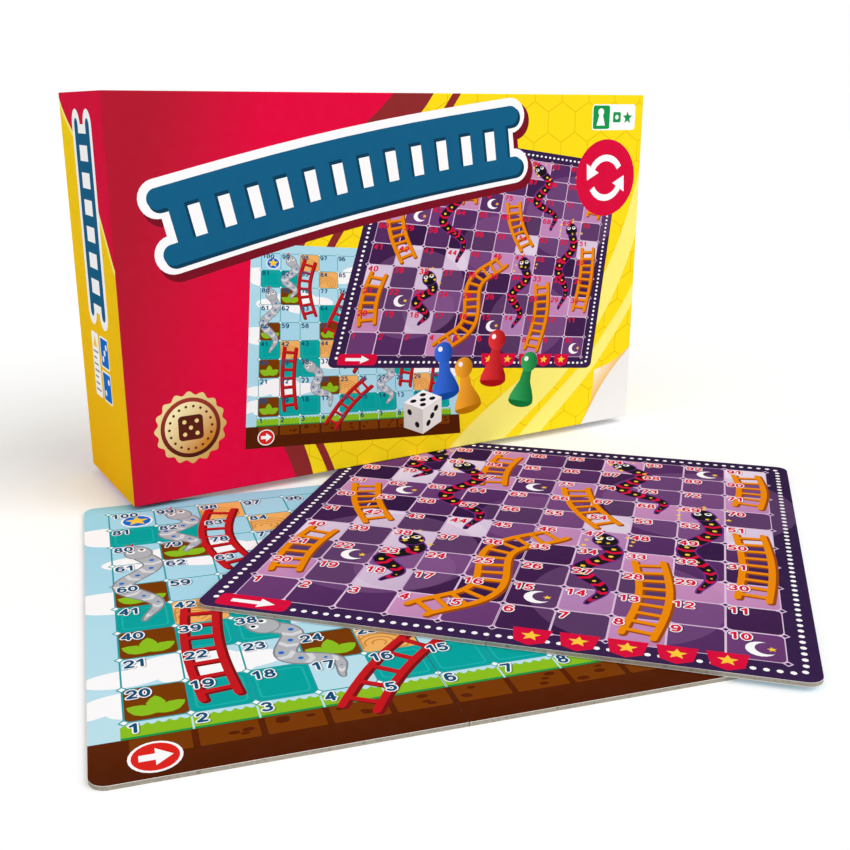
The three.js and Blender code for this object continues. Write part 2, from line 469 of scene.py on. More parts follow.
def printed_mesh(name, art, shape, creases=()):
    """A mesh from a Print. `shape` moves a sheet point in millimetres to its place in metres."""
    points, shown = art.cut(creases)
    used = sorted({i for face, _ in shown for i in face})
    number = {old: new for new, old in enumerate(used)}
    flat = [points[i] for i in used]
    mesh = bpy.data.meshes.new(name)
    mesh.from_pydata([shape(p) for p in flat], [], [[number[i] for i in face] for face, _ in shown])
    mesh.attributes.new(INK_LAYER, "FLOAT_COLOR", "CORNER")
    mesh.uv_layers.new(name=MAP_LAYER)
    low = Vector((min(p.x for p in flat), min(p.y for p in flat)))
    size = Vector((max(p.x for p in flat), max(p.y for p in flat))) - low
    inks, places = [], []
    for polygon, (_, layers) in zip(mesh.polygons, shown):
        for vertex in polygon.vertices:
            inks += opaque(art.ink_at(layers, flat[vertex]))
            place = flat[vertex] - low
            places += [place.x / size.x, SPARE_MAP + (1 - SPARE_MAP) * place.y / size.y]
    mesh.attributes[INK_LAYER].data.foreach_set("color", inks)
    mesh.uv_layers[MAP_LAYER].data.foreach_set("uv", places)
    print(name, len(mesh.vertices), "points", len(mesh.polygons), "faces")
    return mesh


print("share of the map kept for edges", SPARE_MAP)

# %% [markdown]
# ## Motifs
# A snakes and ladders board needs three motifs over and over: numbers, ladders and snakes. Text objects
# could give the numbers, but pen strokes suit a children's game better: a wide white stroke under a
# narrower coloured one gives rounded, outlined figures, and a soft shade lifts them off the picture.

# %% Numerals
FIGURE_STROKE, FIGURE_PITCH = .26, .92  # shares of a figure's height
FIGURE_SHADE = Glaze(BLACK, .4)


def ring(x, y, rx, ry):
    """A closed stroke in two halves."""
    return [arc(x, y, rx, ry, 90, 270), arc(x, y, rx, ry, -90, 90)]


NUMERALS = {
    "0": ring(.3, .5, .3, .5),
    "1": [[(.06, .76), (.36, 1), (.36, 0)]],
    "2": [arc(.3, .7, .29, .3, 165, -30) + [(.03, 0), (.6, 0)]],
    "3": [arc(.27, .76, .27, .24, 150, -85), arc(.27, .27, .31, .27, 85, -150)],
    "4": [[(.47, 0), (.47, 1), (0, .3), (.62, .3)]],
    "5": [[(.55, 1), (.1, 1)] + arc(.27, .33, .31, .33, 132, -150)],
    "6": [arc(.32, .6, .32, .4, 50, 180) + arc(.3, .31, .3, .31, 180, 270), arc(.3, .31, .3, .31, -90, 180)],
    "7": [[(0, 1), (.6, 1), (.22, 0)]],
    "8": ring(.3, .76, .24, .24) + ring(.3, .27, .3, .27),
    "9": [arc(.3, .69, .3, .31, 0, 270), arc(.3, .69, .3, .31, 270, 360) + arc(.28, .4, .32, .4, 0, -130)],
}


def numeral(art, text, x, y, tall, colour, rim):
    """Figures with their lower left corner at (x, y). A rim is a white outline with a soft shade."""
    stroke = tall * FIGURE_STROKE
    coats = [(stroke, 0, colour)]
    if rim:
        coats = [(stroke + rim * 2, rim, FIGURE_SHADE), (stroke + rim * 2, 0, WHITE)] + coats
    for width, drop, paint in coats:
        for place, figure in enumerate(text):
            left, foot = x + drop + place * tall * FIGURE_PITCH, y - drop
            for line in NUMERALS[figure]:
                path = [(left + px * tall, foot + py * tall) for px, py in line]
                art.band(path, width, paint, caps=rim > 0)


print("numerals ready:", len(NUMERALS))

# %% Ladders
RUNG = .8  # a rung's width as a share of its rail's


def ladder(art, path, wide, rail, pitch, coats):
    """Two rails and their rungs. Each coat is (extra width, shift, ink), the undermost first."""
    left, right = sides(path, wide)
    rungs = [(point, left_of(run) * wide / 2) for point, run in spaced(path, pitch)]
    for extra, shift, colour in coats:
        move = Vector(shift)
        for point, out in rungs:
            art.band([point + move - out, point + move + out], rail * RUNG + extra, colour)
        for edge in (left, right):
            art.band([point + move for point in edge], rail + extra, colour, caps=True)


ladder(trial, [(0, -8), (0, 8)], wide=3, rail=1, pitch=2, coats=[(0, (0, 0), RED)])
print("with a ladder the trial print has", len(trial.shapes), "outlines")

# %% Snakes
def snake_tongue(art, place, run, wide):
    root, fork = along([(wide * .6, 0), (wide * 1.35, 0)], place, run)
    art.band([root, fork], wide * .14, RED)
    for side in (-1, 1):
        tip = along([(wide * 1.65, wide * .22 * side)], place, run)
        art.band([fork, *tip], wide * .14, RED)


def snake_head(art, place, run, wide, body, edge):
    """An egg-shaped head with a dark edge, and two eyes that look ahead."""
    angles = [math.radians(22.5 * i) for i in range(16)]
    head = [(wide * (.25 + .95 * math.cos(a)), wide * .72 * math.sin(a) * (1 - .2 * math.cos(a)))
            for a in angles]
    art.paint(along([(x * 1.1, y * 1.13) for x, y in head], place, run), edge)
    art.paint(along(head, place, run), body)
    for side in (-1, 1):
        eye = along([(wide * .45, wide * .34 * side)], place, run)[0]
        art.paint(disc(*eye, wide * .24), WHITE)
        art.paint(disc(*(eye + run * wide * .06), wide * .13), BLACK)


def snake(art, path, wide, body, edge, stripe, dots):
    """A banded snake whose head is at the start of the path. All its parts are shares of its width."""
    path = [Vector(p) for p in path]
    run = (path[0] - path[1]).normalized()

    def girth(extra):
        return lambda t: wide * min(1, 0.18 + 2.1 * (1 - t)) + extra
    snake_tongue(art, path[0], run, wide)
    art.band(path, girth(wide * .2), edge, caps=True)
    art.band(path, girth(0), body, caps=True)
    marks = spaced(path, wide * 1.15)
    for i, (point, ahead) in enumerate(marks[1:], 1):
        half = girth(0)((i + .5) / len(marks)) / 2
        chevron = [(-wide * .22, -half), (wide * .08, -half), (wide * .3, 0), (wide * .08, half),
                   (-wide * .22, half), (0, 0)]
        art.paint(along(chevron, point, ahead), stripe)
        art.paint(disc(*(point - ahead * wide * .42), half * .3), dots)
    snake_head(art, path[0], run, wide, body, edge)


snake(trial, [(0, 0), (0, 5), (0, 10)], wide=1, body=GREEN, edge=LEAF, stripe=GOLD, dots=RED)
print("with a snake the trial print has", len(trial.shapes), "outlines")

# %% [markdown]
# ## The two faces of the board
# Both faces have ten rows of ten squares, counted from the lower left and turning back at each row's end,
# as on every board of this game. The day face is sky, leaf and soil with red ladders. The night face is
# plum and lilac with orange ladders, moons and stars. An image could hold them, but outlines stay sharp
# from near by, and a seeded choice of tiles gives the same board each time.

# %% The grid
BOARD_SIDE, BOARD_CORNER, MARGIN, FOLD_GAP = 280, 7, 13.5, .3
ROWS = 10
LAST = ROWS * ROWS
CELL = (BOARD_SIDE - 2 * MARGIN) / ROWS
GRID_LOW, GRID_HIGH = MARGIN, BOARD_SIDE - MARGIN


def spot(number, x=0, y=0):
    """A place in a square, as shares of its width and height from its lower left corner."""
    row, step = divmod(number - 1, ROWS)
    column = step if row % 2 == 0 else ROWS - 1 - step
    return Vector((MARGIN + (column + x) * CELL, MARGIN + (row + y) * CELL))


def square(number, gap, corner):
    x, y = spot(number)
    return oblong(x + gap, y + gap, x + CELL - gap, y + CELL - gap, corner, step=45)


def crossings():
    return [(MARGIN + i * CELL, MARGIN + j * CELL) for i in range(ROWS + 1) for j in range(ROWS + 1)]


def board_outline():
    return oblong(0, 0, BOARD_SIDE, BOARD_SIDE, BOARD_CORNER, step=15)


print("squares of", round(CELL, 1), "mm")

# %% What both faces share
FIGURE, FIGURE_IN, FIGURE_DOWN = 5.6, 2, 7.4  # height, and place from a square's upper left corner
LADDER_WIDE, LADDER_RAIL = 14.5, 3.5
SNAKE_WIDE, SNAKE_WAVES = 9, 1.5
GOAL = spot(LAST, .6, .42)


def number_squares(art, colour, rim):
    for number in range(1, LAST + 1):
        x, y = spot(number)
        numeral(art, str(number), x + FIGURE_IN, y + CELL - FIGURE_DOWN, FIGURE, colour, rim)


def rise(foot, head):
    """Where a ladder stands in one square and ends in another."""
    return spot(foot, .5, .35), spot(head, .5, .6)


def jewels(art, places, outer, inner, edge, middle):
    """A small diamond within a larger one at each place."""
    for x, y in places:
        art.paint(diamond(x, y, outer), edge)
        art.paint(diamond(x, y, inner), middle)


print("the last square's sign stands at", [round(v, 1) for v in GOAL])

# %% Day: clouds and tiles
CLOUDS = [(12, 232, 34), (58, 196, 40), (8, 148, 30), (150, 236, 42), (96, 120, 46), (40, 76, 34),
          (196, 160, 40), (16, 52, 26), (232, 90, 40), (250, 214, 34)]
PUFFS = [(-.75, -.1, .5), (0, .08, .7), (.7, -.05, .55), (.25, -.2, .6)]
TILES = {"teal": TEAL, "wood": AMBER, "leaf": SOIL, "sky": TILE_SKY}


def cloud(art, x, y, reach):
    for dx, dy, share in PUFFS:
        art.paint(disc(x + dx * reach, y + dy * reach, reach * share, squash=.42, step=12), WHITE)


def leaf(x, y, long, turn):
    """A pointed leaf from its stalk at (x, y)."""
    upper = [(long * t, long * .3 * math.sin(math.pi * t) ** 0.8) for t in (0, .15, .35, .6, .85, 1)]
    lower = [(px, -py) for px, py in reversed(upper[1:-1])]
    return along(upper + lower, (x, y), heading(turn))


def tile_motif(art, number, kind):
    """Wood grain, three leaves or an inner frame on one square."""
    x, y = spot(number)
    if kind == "wood":
        for share in (.2, .42, .64, .86):
            grain = arc(x + CELL * .35, y + CELL * .3, CELL * share * .62, CELL * share * .5, -60, 200, 26)
            kept = [(clamp(px, x + 1, x + CELL - 1), clamp(py, y + 1, y + CELL - 1)) for px, py in grain]
            art.band(kept, .9, GRAIN)
    elif kind == "leaf":
        for turn in (30, 90, 150):
            art.paint(leaf(x + CELL / 2, y + 4, CELL * .52, turn), LEAF)
    elif kind == "teal":
        art.paint(square(number, gap=2.2, corner=2), PALE_TEAL)
        art.paint(square(number, gap=3.1, corner=1.6), TEAL)


print("clouds", len(CLOUDS), "kinds of tile", len(TILES))

# %% Day: squares, turf and soil
TILE_ODDS = (40, 24, 12, 9, 15)  # of no tile, and of each kind
GRID_LINE = .8
SOIL_TOP, GRASS_TOP = 27, 36
BLADES, BLADE_FOOT, BLADE_TIP, BLADE_HALF = 60, 35.4, 37, 1.6
CLOD_LOW, CLOD_HIGH, CLOD_GAP = 14.6, 26.6, 1.3


def day_squares(art, pick):
    """Tiles on some squares of the rows above the lowest, then the lines between the squares."""
    for number in range(ROWS + 1, LAST + 1):
        kind = pick.choices([None, *TILES], TILE_ODDS)[0]
        if kind:
            art.paint(square(number, gap=.3, corner=2.2), TILES[kind])
            tile_motif(art, number, kind)
    for i in range(ROWS + 1):
        run = MARGIN + i * CELL
        art.band([(run, GRASS_TOP), (run, GRID_HIGH)], GRID_LINE, LINE_TEAL)
        if i:
            art.band([(GRID_LOW, run), (GRID_HIGH, run)], GRID_LINE, LINE_TEAL)
    above_turf = [place for place in crossings() if place[1] > GRASS_TOP]
    jewels(art, above_turf, outer=2.4, inner=1.5, edge=LINE_TEAL, middle=WHITE)


def turf_and_soil(art, pick):
    """A strip of grass over the lowest row's blocks of soil."""
    turf = []
    for i in range(BLADES + 1):
        x = GRID_LOW + (GRID_HIGH - GRID_LOW) * i / BLADES
        turf += [(x - BLADE_HALF, BLADE_FOOT), (x, BLADE_TIP), (x + BLADE_HALF, BLADE_FOOT)]
    left, right = GRID_LOW - BLADE_HALF, GRID_HIGH + BLADE_HALF
    art.paint([(left, SOIL_TOP)] + turf + [(right, SOIL_TOP)], LEAF)
    art.band([(left, SOIL_TOP + .6), (right, SOIL_TOP + .6)], 1.4, GREEN)
    for i in range(ROWS):
        x = GRID_LOW + i * CELL
        art.paint(oblong(x + CLOD_GAP, CLOD_LOW, x + CELL - CLOD_GAP, CLOD_HIGH, corner=.6, step=45), SOIL)
        for _ in range(3):
            stone = x + pick.uniform(5, CELL - 5), pick.uniform(17, 24.5), pick.uniform(1.6, 3)
            art.paint(disc(*stone, squash=.55), DARK_SOIL)
        if i:
            art.band([(x, SOIL_TOP), (x, GRASS_TOP)], GRID_LINE, PALE_SKY)


print("grass from", SOIL_TOP, "to", GRASS_TOP, "mm up the board")

# %% Day: the whole face
DAY_LADDERS = [(19, 42, 3), (4, 26, 4), (9, 31, -5), (28, 52, 4), (36, 66, -7), (57, 76, 0), (63, 98, 8),
               (71, 91, -3)]  # foot, head and bow
DAY_SNAKES = [(80, 41, 9), (38, 17, 8), (34, 14, 9), (93, 54, 12), (95, 75, 8), (99, 79, 8)]
DAY_COATS = [(.6, (1.1, -1.2), ink("7d1116")), (0, (0, 0), RED)]
DAY_RUNGS = 12
OVER_EDGE = 9  # how far a field is drawn past the sheet's edge
FIGURE_RIM = .6


def day_face(rim):
    """The sunlit side: sky, leaf, soil and red ladders. The figures have a white outline of width rim."""
    pick = random.Random(11)
    art = Print(board_outline(), fade(ink("9fd8ec"), ink("bfe5f0"), (0, BOARD_SIDE), (0, 40)))
    for x, y, reach in CLOUDS:
        cloud(art, x, y, reach)
    left, right = -OVER_EDGE, BOARD_SIDE + OVER_EDGE
    ground = [(left, left), (right, left), (right, SOIL_TOP), (left, SOIL_TOP)]
    art.paint(ground, fade(ink("5c2200"), ink("4e1b00"), (0, SOIL_TOP - 1), (0, 0)))
    day_squares(art, pick)
    turf_and_soil(art, pick)
    for foot, head, bow in DAY_LADDERS:
        ladder(art, bowed(*rise(foot, head), bow), LADDER_WIDE, LADDER_RAIL, DAY_RUNGS, DAY_COATS)
    for head, tail, swing in DAY_SNAKES:
        path = winding(spot(head, .55, .5), spot(tail, .5, .4), swing, SNAKE_WAVES)
        snake(art, path, SNAKE_WIDE, body=GREY, edge=DEEP_GREY, stripe=PALE_GREY, dots=BLUE)
    art.paint(disc(*GOAL, 9), WHITE)
    art.paint(disc(*GOAL, 7.9), BLUE)
    art.paint(star(*GOAL, 6.8), GOLD)
    x, y = spot(1, .4, -.02)
    art.paint(disc(x, y, 10, step=15), WHITE)
    art.paint(disc(x, y, 8.8, step=15), SIGNAL_RED)
    art.paint(arrow(x - 6, x, x + 6.5, y, shaft=2, head=5.5), WHITE)
    number_squares(art, FIGURE_BLUE, rim)
    return art


day = day_face(FIGURE_RIM)
print("day face", len(day.shapes), "outlines")

# %% Night: border and squares
NIGHT_LADDERS = [(20, 40, 3), (8, 33, -5), (30, 51, -3), (42, 61, 3), (54, 75, 4), (77, 97, 3), (71, 91, -3)]
LONG_LADDER = (4, 46)
NIGHT_SNAKES = [(94, 68, 11), (83, 44, 12), (38, 18, 8), (47, 14, 8), (69, 29, 8), (99, 79, 8)]
PALE_SQUARES = {number for pair in NIGHT_LADDERS + NIGHT_SNAKES + [LONG_LADDER] for number in pair[:2]}
NIGHT_TONES = [ink(tone) for tone in ("391a49", "442151", "5a3067", "713f79", "713f79")]
PALE_TONES = [LILAC, PALE_LILAC, MID_LILAC]
GLOW = [(66, 84, 52, .2), (84, 66, 26, .16), (196, 58, 46, .18), (226, 196, 56, .18), (140, 150, 36, .14)]
BORDER_IN, BORDER_CORNER, BORDER_PITCH, BORDER_DOT = 6.4, 4, 5.4, 1.45


def night_squares(art, pick):
    """A border of dots, then the squares: pale ones where a ladder or a snake begins or ends."""
    far = BOARD_SIDE - BORDER_IN
    edge = oblong(BORDER_IN, BORDER_IN, far, far, BORDER_CORNER, step=15)
    for point, _ in spaced(edge + edge[:1], BORDER_PITCH):
        art.paint(disc(*point, BORDER_DOT, step=45), WHITE)
    art.paint(oblong(GRID_LOW, GRID_LOW, GRID_HIGH, GRID_HIGH, corner=3), LINE_LILAC)
    for number in range(1, LAST + 1):
        colour = pick.choice(NIGHT_TONES)
        if number in PALE_SQUARES:
            colour = pick.choice(PALE_TONES)
        x, y = spot(number)
        shade = fade(colour, toned(colour, .82), (x, y + CELL), (x + CELL, y))
        art.paint(square(number, gap=.5, corner=2.6), shade)
    for x, y, reach, share in GLOW:
        art.paint(disc(x, y, reach, step=8), Glaze(GLOW_LILAC, share))
    jewels(art, crossings(), outer=2.3, inner=1.4, edge=LINE_LILAC, middle=DUSK)


print("pale squares", len(PALE_SQUARES))

# %% Night: moons and signs
MOONS = (10, 22, 15, 62, 76, 92)
PENNANTS, PENNANT_FIRST, PENNANT_PITCH = 5, 158, 21
START_SIGN = (8, 3, 44, 15)


def crescent(x, y, radius, turn):
    """A moon that opens towards `turn` degrees."""
    outer = arc(0, 0, radius, radius, 50, 310, 20)
    inner = arc(radius * .42, 0, radius * .8, radius * .8, 286, 74, 20)
    return along(outer + inner, (x, y), heading(turn))


def night_signs(art):
    """Moons, the last square's star, a row of pennants and the starting arrow."""
    for number in MOONS:
        x, y = spot(number, .58, .42)
        art.paint(crescent(x, y, 6.6, 20), WHITE)
        art.paint(star(x + 4.6, y + .6, 2.2, turn=100), GOLD)
    for radius, colour in ((9, WHITE), (8, CRIMSON)):
        art.paint(star(*GOAL, radius, points=8, waist=.62), colour)
    art.paint(star(*GOAL, 5), GOLD)
    for i in range(PENNANTS):
        x = PENNANT_FIRST + i * PENNANT_PITCH
        art.paint([(x - 9, 17), (x + 9, 17), (x + 7, 5), (x, 1.5), (x - 7, 5)], CRIMSON)
        art.paint(star(x, 10.4, 4.6), GOLD)
    art.paint(oblong(*START_SIGN, corner=3), CRIMSON)
    art.paint(arrow(15, 29, 37, 9, shaft=1.6, head=4.4), WHITE)


print("moons", len(MOONS), "pennants", PENNANTS)

# %% Night: the whole face
NIGHT_COATS = [(.6, (1.1, -1.3), ink("9c4a0c")), (0, (0, 0), ORANGE)]
NIGHT_RUNGS = 9
SNAKE_BLACK, SNAKE_VIOLET = ink("17121c"), ink("74308c")


def night_face(rim):
    """The starlit side: plum squares, orange ladders, moons and stars."""
    pick = random.Random(5)
    art = Print(board_outline(), fade(DUSK, ink("2f1a42"), (0, 0), (BOARD_SIDE, BOARD_SIDE)))
    night_squares(art, pick)
    paths = [bowed(*rise(foot, head), bow) for foot, head, bow in NIGHT_LADDERS]
    for path in paths + [winding(*rise(*LONG_LADDER), swing=-13, waves=1)]:
        ladder(art, path, LADDER_WIDE, LADDER_RAIL, NIGHT_RUNGS, NIGHT_COATS)
    for head, tail, swing in NIGHT_SNAKES:
        path = winding(spot(head, .55, .45), spot(tail, .5, .4), swing, SNAKE_WAVES)
        snake(art, path, SNAKE_WIDE, body=SNAKE_BLACK, edge=SNAKE_VIOLET, stripe=CRIMSON, dots=GOLD)
        for _ in range(10):
            near = path[0] + Vector((pick.uniform(-15, 15), pick.uniform(-10, 16)))
            art.paint(star(*near, pick.uniform(1.2, 2.2), turn=pick.uniform(0, 72)), GOLD)
    night_signs(art)
    number_squares(art, FIGURE_RED, rim)
    return art


night = night_face(FIGURE_RIM)
print("night face", len(night.shapes), "outlines")

# %% [markdown]
# ## Finishes
# Four kinds of surface make up the set. Printed paper takes its colour from the ink on its faces, with a
# faint mottle where ink lies thinner and a thin varnish over it. Greyboard is pulped paper with flecks.
# The stays are plain paper tape. The pieces are glossy moulded plastic with faint flow marks. Scanned
# textures could give these, but noise in metres has the right grain at every size and needs no picture.

# %% Paper, greyboard and tape
def printed_paper(name):
    finish = new_finish(name)
    laid = finish.node("Attribute", {"attribute_name": INK_LAYER})
    mottle = finish.noise(size=0.006, detail=3)
    fibre = finish.noise(size=0.0005)
    thin = finish.mix(mottle * 0.006, laid, grey(1))
    return finish.surface(base_color=thin, roughness=0.42 + fibre * 0.14, coat_weight=0.01 + mottle * 0.02,
                          coat_roughness=0.3, specular_ior_level=0.0,
                          normal=finish.bump(fibre, strength=0.06, distance=0.00005))


def greyboard(name):
    finish = new_finish(name)
    pulp = finish.noise(size=0.0011, detail=4, rough=0.65)
    patches = finish.noise(size=0.02)
    stops = [(.3, ink("8b8377")), (.55, ink("a59d90")), (.75, ink("b4ad9f"))]
    ground = finish.node("ValToRGB", {"stops": stops}, {"Fac": pulp * 0.8 + patches * 0.2})
    fleck = finish.noise(size=0.0023, detail=1).above(0.68)
    colour = finish.mix(fleck * 0.5, ground, opaque(ink("6a6258")))
    return finish.surface(base_color=colour, roughness=0.82 + pulp * 0.15, specular_ior_level=0.2,
                          normal=finish.bump(pulp, strength=0.35, distance=0.00012))


def paper_tape(name):
    finish = new_finish(name)
    crepe = finish.noise(size=0.0009, detail=3)
    colour = finish.mix(crepe, opaque(ink("e2dccb")), opaque(ink("efebdf")))
    return finish.surface(base_color=colour, roughness=0.7 + crepe * 0.2,
                          normal=finish.bump(crepe, strength=0.2, distance=0.0001))


paper_print = printed_paper("printed paper")
board_core, tape = greyboard("greyboard"), paper_tape("paper tape")
print("finishes", [material.name for material in (paper_print, board_core, tape)])

# %% Put the greyboard and tape on the solids
def dress(node, material):
    node.data.materials.clear()
    node.data.materials.append(material)


for name, node in nodes.items():
    if name.endswith(("_core", "_shell")):
        dress(node, board_core)
    elif "stay" in name:
        dress(node, tape)
print("in tape:", [name for name in nodes if "stay" in name])

# %% [markdown]
# ## The board sheets
# A folding board is two leaves of greyboard with printed sheets glued on both sides, cut through at the
# fold. One solid with a picture on it would not show the paper's edge or let the board fold, so each
# sheet is a closed slip of paper, 0.2 mm thick: the printed surface on top, and its outline drawn down to
# a plain back. A face is printed whole, and each leaf takes the half that lies on it.

# %% Halves and slips
EDGE_MAP_SPAN = .3  # metres of sheet that fit across the spare strip of the map


def leaf_half(art, side):
    """The part of a face that lies left or right of the fold."""
    middle = BOARD_SIDE / 2
    way = 1 if side == "right" else -1
    fold_edge = middle + way * FOLD_GAP / 2
    kept = [p for p in board_outline() if (p[0] - middle) * way > 0]
    kept.sort(key=lambda p: math.atan2(p[1] - middle, (p[0] - middle) * way))
    half = Print([(fold_edge, 0), *kept, (fold_edge, BOARD_SIDE)], art.shapes[0][1])
    for outline, colour in art.shapes[1:]:
        if max((p.x - middle) * way for p in outline) > 0:
            half.shapes.append((outline, colour))
    return half


def open_corners(work):
    """The corners of a mesh's one open outline, in order."""
    edge = next(edge for edge in work.edges if edge.is_boundary)
    corners = [edge.verts[0]]
    while edge.other_vert(corners[-1]) != corners[0]:
        corners.append(edge.other_vert(corners[-1]))
        edge = next(near for near in corners[-1].link_edges if near.is_boundary and near != edge)
    return corners


def close_sheet(mesh, thick):
    """Draw the printed surface's outline down by `thick` and close the plain side."""
    work = bmesh.new()
    work.from_mesh(mesh)
    colours, spread = work.loops.layers.float_color[INK_LAYER], work.loops.layers.uv[MAP_LAYER]
    printed = set(work.faces)
    rim = open_corners(work)
    foot = [work.verts.new(corner.co - Vector((0, 0, thick))) for corner in rim]
    for i in range(len(rim)):
        work.faces.new((rim[i - 1], rim[i], foot[i], foot[i - 1]))
    work.faces.new(foot)
    bmesh.ops.recalc_face_normals(work, faces=work.faces)
    for face in work.faces:
        if face in printed:
            continue
        at_fold = all(abs(vertex.co.x) < FOLD_GAP * MM for vertex in face.verts)
        above = [near for edge in face.edges for near in edge.link_faces if near in printed]
        for loop in face.loops:
            loop[colours] = above[0].loops[0][colours] if at_fold and above else opaque(PAPER)
            across, up = (loop.vert.co[i] / EDGE_MAP_SPAN + .5 for i in (0, 1))
            loop[spread].uv = (across, SPARE_MAP * (.1 + .8 * up))
    work.to_mesh(mesh)
    work.free()


halves = {(face, side): leaf_half(art, side)
          for face, art in (("day", day), ("night", night)) for side in ("left", "right")}
print("outlines", {" ".join(half): len(art.shapes) for half, art in halves.items()})

# %% New pieces and their boxes
def piece(name, mesh, material, body, slot, *stands_for):
    """A new piece that moves with a body and stands for some nodes of the frame. Its slot is not used."""
    made = bpy.data.objects.new(name, mesh)
    bpy.context.collection.objects.link(made)
    mesh.materials.append(material)
    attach(made, body)
    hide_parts(*stands_for)
    return made


def extent(points):
    """The lowest and the highest corner of the box round some points."""
    points = list(points)
    return [Vector([most(p[i] for p in points) for i in range(3)]) for most in (min, max)]


def leaf_box(body, ending):
    """The box round both leaves' nodes of one kind."""
    return extent(c for side in ("left", "right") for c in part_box(body + "_" + side + "_" + ending))


sheet_low, sheet_high = leaf_box("lower_board", "day_sheet")
SHEET = sheet_high.z - sheet_low.z
print("sheets are", round(SHEET / MM, 2), "mm thick")

# %% Lay the eight sheets
BOARD_TURN = {"lower_board": -13.5, "upper_board": -46}
LEAF_BODY = {("upper_board", "right"): "upper_board_leaf"}


def flat_board(point):
    return ((point.x - BOARD_SIDE / 2) * MM, (point.y - BOARD_SIDE / 2) * MM, 0)


def lay_sheet(pattern, body, side, face):
    """A copy of a printed half on the top or the underside of its leaf."""
    low, high = leaf_box(body, face + "_sheet")
    faces_up = low.z > leaf_box(body, "core")[0].z
    turn = Matrix.Rotation(math.radians(BOARD_TURN[body]), 4, "Z")
    flip = Matrix() if faces_up else Matrix.Rotation(math.pi, 4, "X")
    middle = (low + high) / 2
    middle.z = high.z if faces_up else low.z
    sheet = pattern.copy()
    sheet.transform(Matrix.Translation(middle) @ turn @ flip)
    node = body + "_" + side + "_" + face + "_sheet"
    rides = LEAF_BODY.get((body, side), body)
    piece(node + "_print", sheet, paper_print, rides, face + "_print", node)
    print(node, "faces up" if faces_up else "faces down", "at", [round(v, 4) for v in middle])


for (face, side), art in halves.items():
    pattern = printed_mesh(face + "_" + side, art, flat_board)
    close_sheet(pattern, SHEET)
    for body in BOARD_TURN:
        lay_sheet(pattern, body, side, face)
    bpy.data.meshes.remove(pattern)

# %% [markdown]
# ## The box wraps
# A rigid box is wrapped in one printed sheet: a front panel with four flaps that fold back along the
# sides, over the rim of the greyboard and a little way down inside, mitred where they meet at the rim.
# A picture could be projected on a plain box, but it would break at the edges. Here the print is laid out
# on that flat cross, as a box maker would, and then folded, so that a colour field runs over the edges
# unbroken. Each fold is rounded, because paper and board never make a knife edge.

# %% The flat wrap
RIM, TURN_IN = 2.25, 14  # across the greyboard's rim, and down inside it
FOLD, FOLD_MIDDLE = 0.7, .35  # a fold's radius, and the share of it where it has a second crease
CREASE_OVER = 5  # how far a crease is drawn past the sheet's edge


def wrap_outline(long, tall, deep):
    """The flat cross, counter-clockwise, with its origin at the panel's lower left corner."""
    flap = [(0, deep), (RIM, deep + RIM), (RIM, deep + RIM + TURN_IN)]
    corners = [(0, 0), (long, 0), (long, tall), (0, tall)]
    ahead = [(1, 0), (0, 1), (-1, 0), (0, -1)]
    outline = []
    for (x, y), (x_end, y_end), (ax, ay) in zip(corners, corners[1:] + corners[:1], ahead):
        outline.append((x, y))
        outline += [(x + ax * run + ay * out, y + ay * run - ax * out) for run, out in flap]
        outline += [(x_end - ax * run + ay * out, y_end - ay * run - ax * out) for run, out in flap[::-1]]
    return outline


def wrap_creases(long, tall, deep):
    """Lines to fold on: at the rim, at each edge of the panel, and close beside it."""
    beside = [FOLD_MIDDLE * FOLD, FOLD]
    span = deep + RIM + TURN_IN + CREASE_OVER
    lines = []
    for offset in [-deep - RIM, -deep] + [-b for b in beside] + [0] + beside:
        for x in (offset, long - offset):
            lines.append(((x, -span), (x, tall + span)))
        for y in (offset, tall - offset):
            lines.append(((-span, y), (long + span, y)))
    return lines


def wrap_sizes(node):
    """Length, height and depth of a wrapped box in millimetres."""
    low, high = (Vector(corner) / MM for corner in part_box(node))
    return high.x - low.x, high.z - low.z, high.y - low.y


lid_sizes, tray_sizes = wrap_sizes("lid_wrap"), wrap_sizes("tray_wrap")
print("lid wrap", [round(v, 1) for v in lid_sizes], "mm, tray wrap", [round(v, 1) for v in tray_sizes])

# %% Fold a wrap
def fold(point, long, tall, deep):
    """Where a point of the flat wrap comes to lie: x across, y back from the panel, z up."""
    x, z = clamp(point.x, 0, long), clamp(point.y, 0, tall)
    over_x, over_z = point.x - x, point.y - z
    run = abs(over_x) + abs(over_z)
    inset = clamp(run - deep, 0, RIM)
    y = min(run, deep) - max(run - deep - RIM, 0)
    x -= math.copysign(inset, over_x) if over_x else 0
    z -= math.copysign(inset, over_z) if over_z else 0
    if inset > 0:
        return Vector((x, y, z))
    core = Vector((clamp(x, FOLD, long - FOLD), max(y, FOLD), clamp(z, FOLD, tall - FOLD)))
    return core + (Vector((x, y, z)) - core).normalized() * FOLD


def wrap(name, node, art, sizes, place, body, slot):
    """Fold a print round its shell, give the paper its thickness and keep it within the node's box."""
    mesh = printed_mesh(name, art, lambda point: place(fold(point, *sizes) * MM), wrap_creases(*sizes))
    made = piece(name, mesh, paper_print, body, slot, node)
    paper = made.modifiers.new("paper", "SOLIDIFY")
    paper.thickness, paper.offset = SHEET, -1
    view = bpy.context.evaluated_depsgraph_get()
    thick = made.evaluated_get(view)
    made.data = bpy.data.meshes.new_from_object(thick, preserve_all_data_layers=True, depsgraph=view)
    made.modifiers.clear()
    low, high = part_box(node)
    for vertex in made.data.vertices:
        vertex.co = [clamp(v, a, b) for v, a, b in zip(vertex.co, low, high)]


print("the panel's corner folds to", [round(v, 2) for v in fold(Vector((0, 0)), *lid_sizes)])

